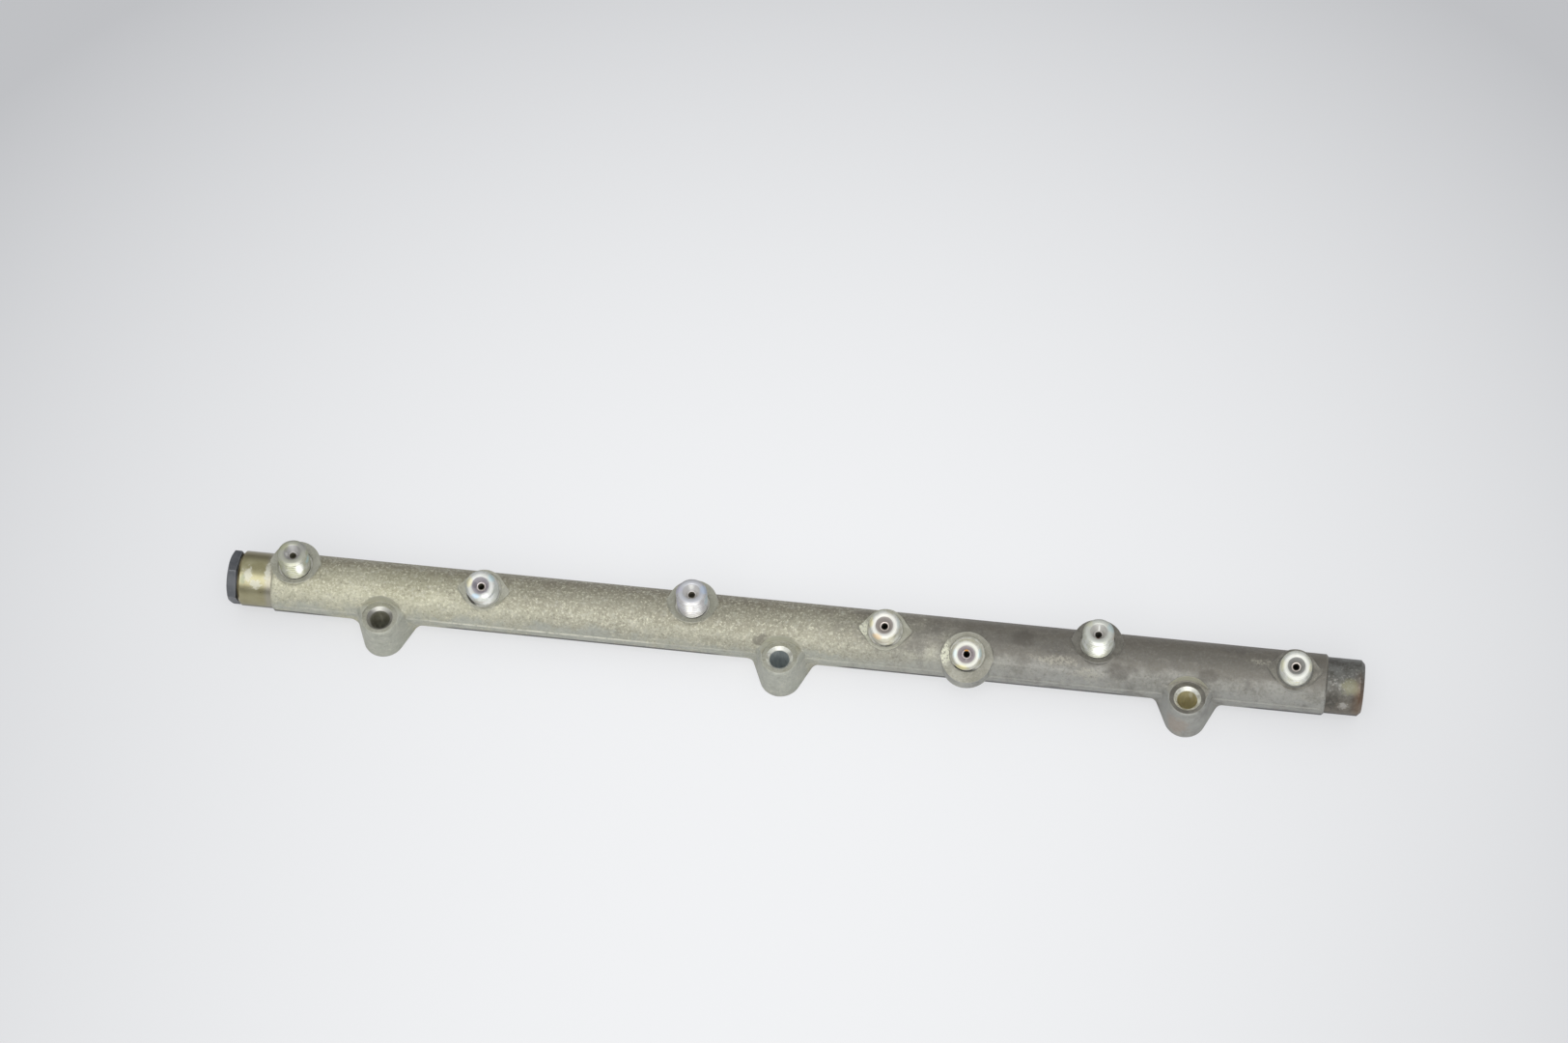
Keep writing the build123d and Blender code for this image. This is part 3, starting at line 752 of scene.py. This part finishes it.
def floor():
    """A plain pale floor, a little darker far away and to both sides, as in the photograph."""
    p = Paint("pale_floor")
    side = p.times(p.x, 1 / SIDE_FADE)
    far = p.times(p.most(p.y, 0.0), 1 / FAR_FADE)
    # Painted shade: darker far away and to both sides
    shade = p.sum("ADD", p.times(side, side, 0.45), p.times(far, far, 0.43), clamp=True)
    colour = p.mix(shade, (0.875, 0.88, 0.89), (0.52, 0.525, 0.54))
    p.metal(colour, 0.9, 0.0)
    lit = p.tree.nodes["Principled BSDF"].outputs[0]
    paper = p.tree.nodes.new("ShaderNodeEmission")
    p.put(paper.inputs["Color"], colour)
    seen = p.tree.nodes.new("ShaderNodeLightPath").outputs["Is Camera Ray"]
    join = p.tree.nodes.new("ShaderNodeMixShader")
    p.put(join.inputs[0], p.times(seen, PLAIN_SHARE))
    p.tree.links.new(lit, join.inputs[1])
    p.tree.links.new(paper.outputs[0], join.inputs[2])
    p.tree.links.new(join.outputs[0], p.tree.nodes["Material Output"].inputs["Surface"])
    mesh = bpy.data.meshes.new("floor")
    corners = [(-1, -1), (1, -1), (1, 1), (-1, 1)]
    places = [(x * FLOOR_REACH, y * FLOOR_REACH, -FLOOR_DEPTH) for x, y in corners]
    mesh.from_pydata(places, [], [(0, 1, 2, 3)])
    mesh.materials.append(p.material)
    piece = add_object("floor", mesh)


def camera():
    """The photograph's own viewpoint, found from the solids' sizes."""
    data = bpy.data.cameras.new("camera")
    data.lens = LENS
    data.sensor_width = FRAME_WIDTH
    data.sensor_fit = "HORIZONTAL"
    eye = add_object("camera", data)
    eye.location = CAMERA_PLACE
    eye.rotation_euler = [math.radians(turn) for turn in CAMERA_TURN]
    bpy.context.scene.camera = eye


def lights():
    """A large soft light over the camera's side, and a pale surround that is brighter overhead."""
    data = bpy.data.lights.new("soft_key", "SUN")
    data.energy = LAMP_POWER
    data.angle = math.radians(LAMP_SPREAD)
    key = add_object("soft_key", data)
    key.rotation_mode = "QUATERNION"
    key.rotation_quaternion = Vector(LAMP_SIDE).to_track_quat("Z", "Y")
    world = bpy.data.worlds.new("surround")
    world.use_nodes = True
    bpy.context.scene.world = world
    nodes = world.node_tree.nodes
    links = world.node_tree.links
    nodes.clear()
    path = nodes.new("ShaderNodeLightPath")
    seen = nodes.new("ShaderNodeMath")
    seen.operation = "MAXIMUM"
    links.new(path.outputs["Is Camera Ray"], seen.inputs[0])
    links.new(path.outputs["Is Transmission Ray"], seen.inputs[1])
    fill = nodes.new("ShaderNodeBackground")
    place = nodes.new("ShaderNodeTexCoord")
    split = nodes.new("ShaderNodeSeparateXYZ")
    links.new(place.outputs["Generated"], split.inputs[0])
    rise = nodes.new("ShaderNodeMapRange")
    rise.interpolation_type = "SMOOTHSTEP"
    rise.inputs["From Min"].default_value = SURROUND_HEIGHTS[0]
    rise.inputs["From Max"].default_value = SURROUND_HEIGHTS[1]
    rise.inputs["To Min"].default_value = SURROUND_STRENGTHS[0]
    rise.inputs["To Max"].default_value = SURROUND_STRENGTHS[1]
    links.new(split.outputs["Z"], rise.inputs["Value"])
    fill.inputs["Color"].default_value = (0.95, 0.97, 1.0, 1.0)
    links.new(rise.outputs["Result"], fill.inputs["Strength"])
    pale = nodes.new("ShaderNodeBackground")
    pale.inputs["Color"].default_value = (0.80, 0.82, 0.85, 1.0)
    pale.inputs["Strength"].default_value = 1.0
    mix = nodes.new("ShaderNodeMixShader")
    links.new(seen.outputs[0], mix.inputs[0])
    links.new(fill.outputs[0], mix.inputs[1])
    links.new(pale.outputs[0], mix.inputs[2])
    out = nodes.new("ShaderNodeOutputWorld")
    links.new(mix.outputs[0], out.inputs["Surface"])


bpy.context.scene.view_settings.view_transform = "Standard"
camera()
lights()
floor()

body = forging()
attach(body, "root")
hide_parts("rail_body")

# Colours of the stains and of the painted highlights on the stubs
WHITE = (0.84, 0.84, 0.80)
TEAL = (0.44, 0.60, 0.62)
OLIVE = (0.40, 0.40, 0.22)
YELLOW = (0.74, 0.68, 0.36)
GREY = (0.36, 0.355, 0.33)
LILAC = (0.56, 0.54, 0.64)

# Stains, painted highlights, painted glint and painted shadows of each stub: turn from the rail's
# right, distance out, height, reach, colour and share
STAINS_AND_LIGHT = [
    [
        (150.0, 5.5, 23.0, (3.4, 3.4, 3.0), OLIVE, 0.45),
        (40.0, 5.0, 23.3, (3.2, 3.6, 2.0), GREY, 0.75),
        (-165.0, 6.8, 17.5, (4.6, 5.0, 6.5), OLIVE, 0.75),
        # Painted highlight on the thread's near side
        (-55.0, 6.8, 18.5, (2.4, 3.0, 5.5), WHITE, 0.85),
        (-5.0, 6.8, 19.5, (2.2, 2.6, 2.6), TEAL, 0.6),
        # Painted highlight inside the sealing cone
        (-170.0, 2.8, 21.5, (1.0, 1.4, 1.6), WHITE, 0.6),
    ],
    [
        (165.0, 5.6, 23.3, (2.2, 3.6, 2.0), YELLOW, 0.5),
        (40.0, 6.2, 23.0, (2.4, 2.6, 2.5), TEAL, 0.6),
        (-105.0, 5.2, 23.6, (2.4, 1.6, 1.5), (0.50, 0.66, 0.78), 0.6),
        # Painted highlight on the tip face
        (-60.0, 5.0, 23.6, (2.2, 1.8, 1.5), WHITE, 0.8),
        (-95.0, 6.8, 18.5, (4.0, 3.0, 2.0), (0.50, 0.42, 0.36), 0.5),
        # Painted shade on the left of the sealing cone
        (175.0, 2.8, 21.6, (1.4, 2.2, 2.2), (0.24, 0.23, 0.26), 0.6),
    ],
    [
        (15.0, 5.8, 23.2, (2.6, 3.0, 2.4), (0.48, 0.58, 0.72), 0.6),
        (175.0, 6.0, 22.5, (2.4, 3.0, 3.0), LILAC, 0.6),
        # Painted highlight on the thread's near side
        (-92.0, 6.8, 19.0, (1.9, 3.0, 5.5), (0.84, 0.82, 0.74), 0.6),
        (-150.0, 6.8, 17.5, (2.2, 3.0, 4.0), LILAC, 0.4),
        (-10.0, 6.8, 19.0, (1.8, 2.6, 4.0), TEAL, 0.45),
        # Painted highlight inside the sealing cone
        (-90.0, 2.6, 21.0, (0.7, 1.5, 2.4), WHITE, 0.9),
        # Painted highlight inside the sealing cone
        (100.0, 3.0, 22.3, (1.6, 1.0, 1.6), WHITE, 0.6),
    ],
    [
        (-120.0, 6.3, 23.0, (3.4, 2.2, 1.6), (0.72, 0.50, 0.24), 0.6),
        (170.0, 6.3, 23.2, (1.8, 4.0, 1.6), YELLOW, 0.55),
        (15.0, 6.5, 22.8, (1.6, 3.4, 2.0), (0.60, 0.66, 0.62), 0.5),
        (-90.0, 6.8, 18.0, (4.5, 3.0, 2.6), (0.42, 0.36, 0.28), 0.55),
    ],
    [
        (-110.0, 6.4, 23.2, (4.4, 1.8, 1.6), YELLOW, 0.75),
        (10.0, 6.2, 23.2, (1.5, 3.4, 1.8), TEAL, 0.5),
        (180.0, 5.0, 23.5, (1.2, 3.0, 1.6), (0.56, 0.68, 0.70), 0.5),
        # Painted glint on the ledge at the foot of the sealing cone
        (95.0, 1.7, 20.2, (1.3, 0.8, 0.9), (0.80, 0.44, 0.12), 0.95),
        # Painted shadow under the tip, on the thread's near side by the root
        (-115.0, 6.8, 13.2, (6.0, 4.0, 3.4), (0.04, 0.035, 0.03), 0.9),
        # Painted highlight inside the sealing cone
        (-90.0, 2.6, 21.4, (0.6, 1.0, 1.6), WHITE, 0.7),
    ],
    [
        (25.0, 5.8, 23.0, (2.2, 3.2, 2.6), (0.50, 0.62, 0.62), 0.6),
        (140.0, 6.0, 23.0, (2.6, 2.8, 2.4), (0.66, 0.64, 0.42), 0.4),
        # Painted highlight on the thread's near side
        (-85.0, 6.8, 17.5, (4.2, 3.6, 5.5), WHITE, 0.5),
        (-10.0, 6.6, 21.5, (1.4, 2.0, 1.6), (0.48, 0.28, 0.16), 0.45),
        # Painted highlight inside the sealing cone
        (90.0, 2.6, 21.6, (0.55, 1.8, 2.4), WHITE, 0.9),
        (-90.0, 1.6, 19.8, (1.2, 1.2, 1.2), (0.22, 0.06, 0.03), 0.8),
    ],
    [
        (180.0, 6.4, 22.5, (1.8, 4.0, 3.0), (0.72, 0.70, 0.46), 0.5),
        (-110.0, 6.8, 18.5, (3.4, 3.0, 3.4), (0.76, 0.75, 0.60), 0.55),
        (-80.0, 6.8, 20.5, (2.2, 2.0, 1.0), (0.70, 0.62, 0.24), 0.5),
        (0.0, 6.4, 23.0, (1.6, 3.4, 1.6), YELLOW, 0.3),
    ],
]

# Light plating, its film, the tip face, the sealing cone and the share of its pale foot
FINISHES = [
    ((0.52, 0.52, 0.44), (0.44, 0.45, 0.32), (0.45, 0.45, 0.38), (0.50, 0.49, 0.49), 0.1),
    ((0.66, 0.67, 0.65), (0.54, 0.56, 0.50), (0.60, 0.60, 0.57), (0.55, 0.52, 0.55), 0.5),
    ((0.64, 0.64, 0.64), (0.55, 0.53, 0.53), (0.60, 0.61, 0.64), (0.64, 0.63, 0.62), 0.2),
    ((0.68, 0.68, 0.62), (0.56, 0.54, 0.42), (0.72, 0.71, 0.66), (0.52, 0.48, 0.46), 0.8),
    ((0.68, 0.67, 0.60), (0.60, 0.58, 0.44), (0.62, 0.62, 0.56), (0.56, 0.51, 0.53), 0.3),
    ((0.68, 0.69, 0.65), (0.56, 0.57, 0.48), (0.64, 0.65, 0.59), (0.58, 0.57, 0.54), 0.2),
    ((0.68, 0.68, 0.64), (0.60, 0.61, 0.51), (0.67, 0.67, 0.62), (0.44, 0.435, 0.42), 0.9),
]
for number, (finish, stains_and_light) in enumerate(zip(FINISHES, STAINS_AND_LIGHT), 1):
    stub = pipe_stub(number, thread_zinc(number, *finish, stains_and_light))
    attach(stub, "root")
    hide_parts("rail_body")

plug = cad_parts["end_plug"]
plug.data.materials.clear()
plug.data.materials.append(blued_steel())
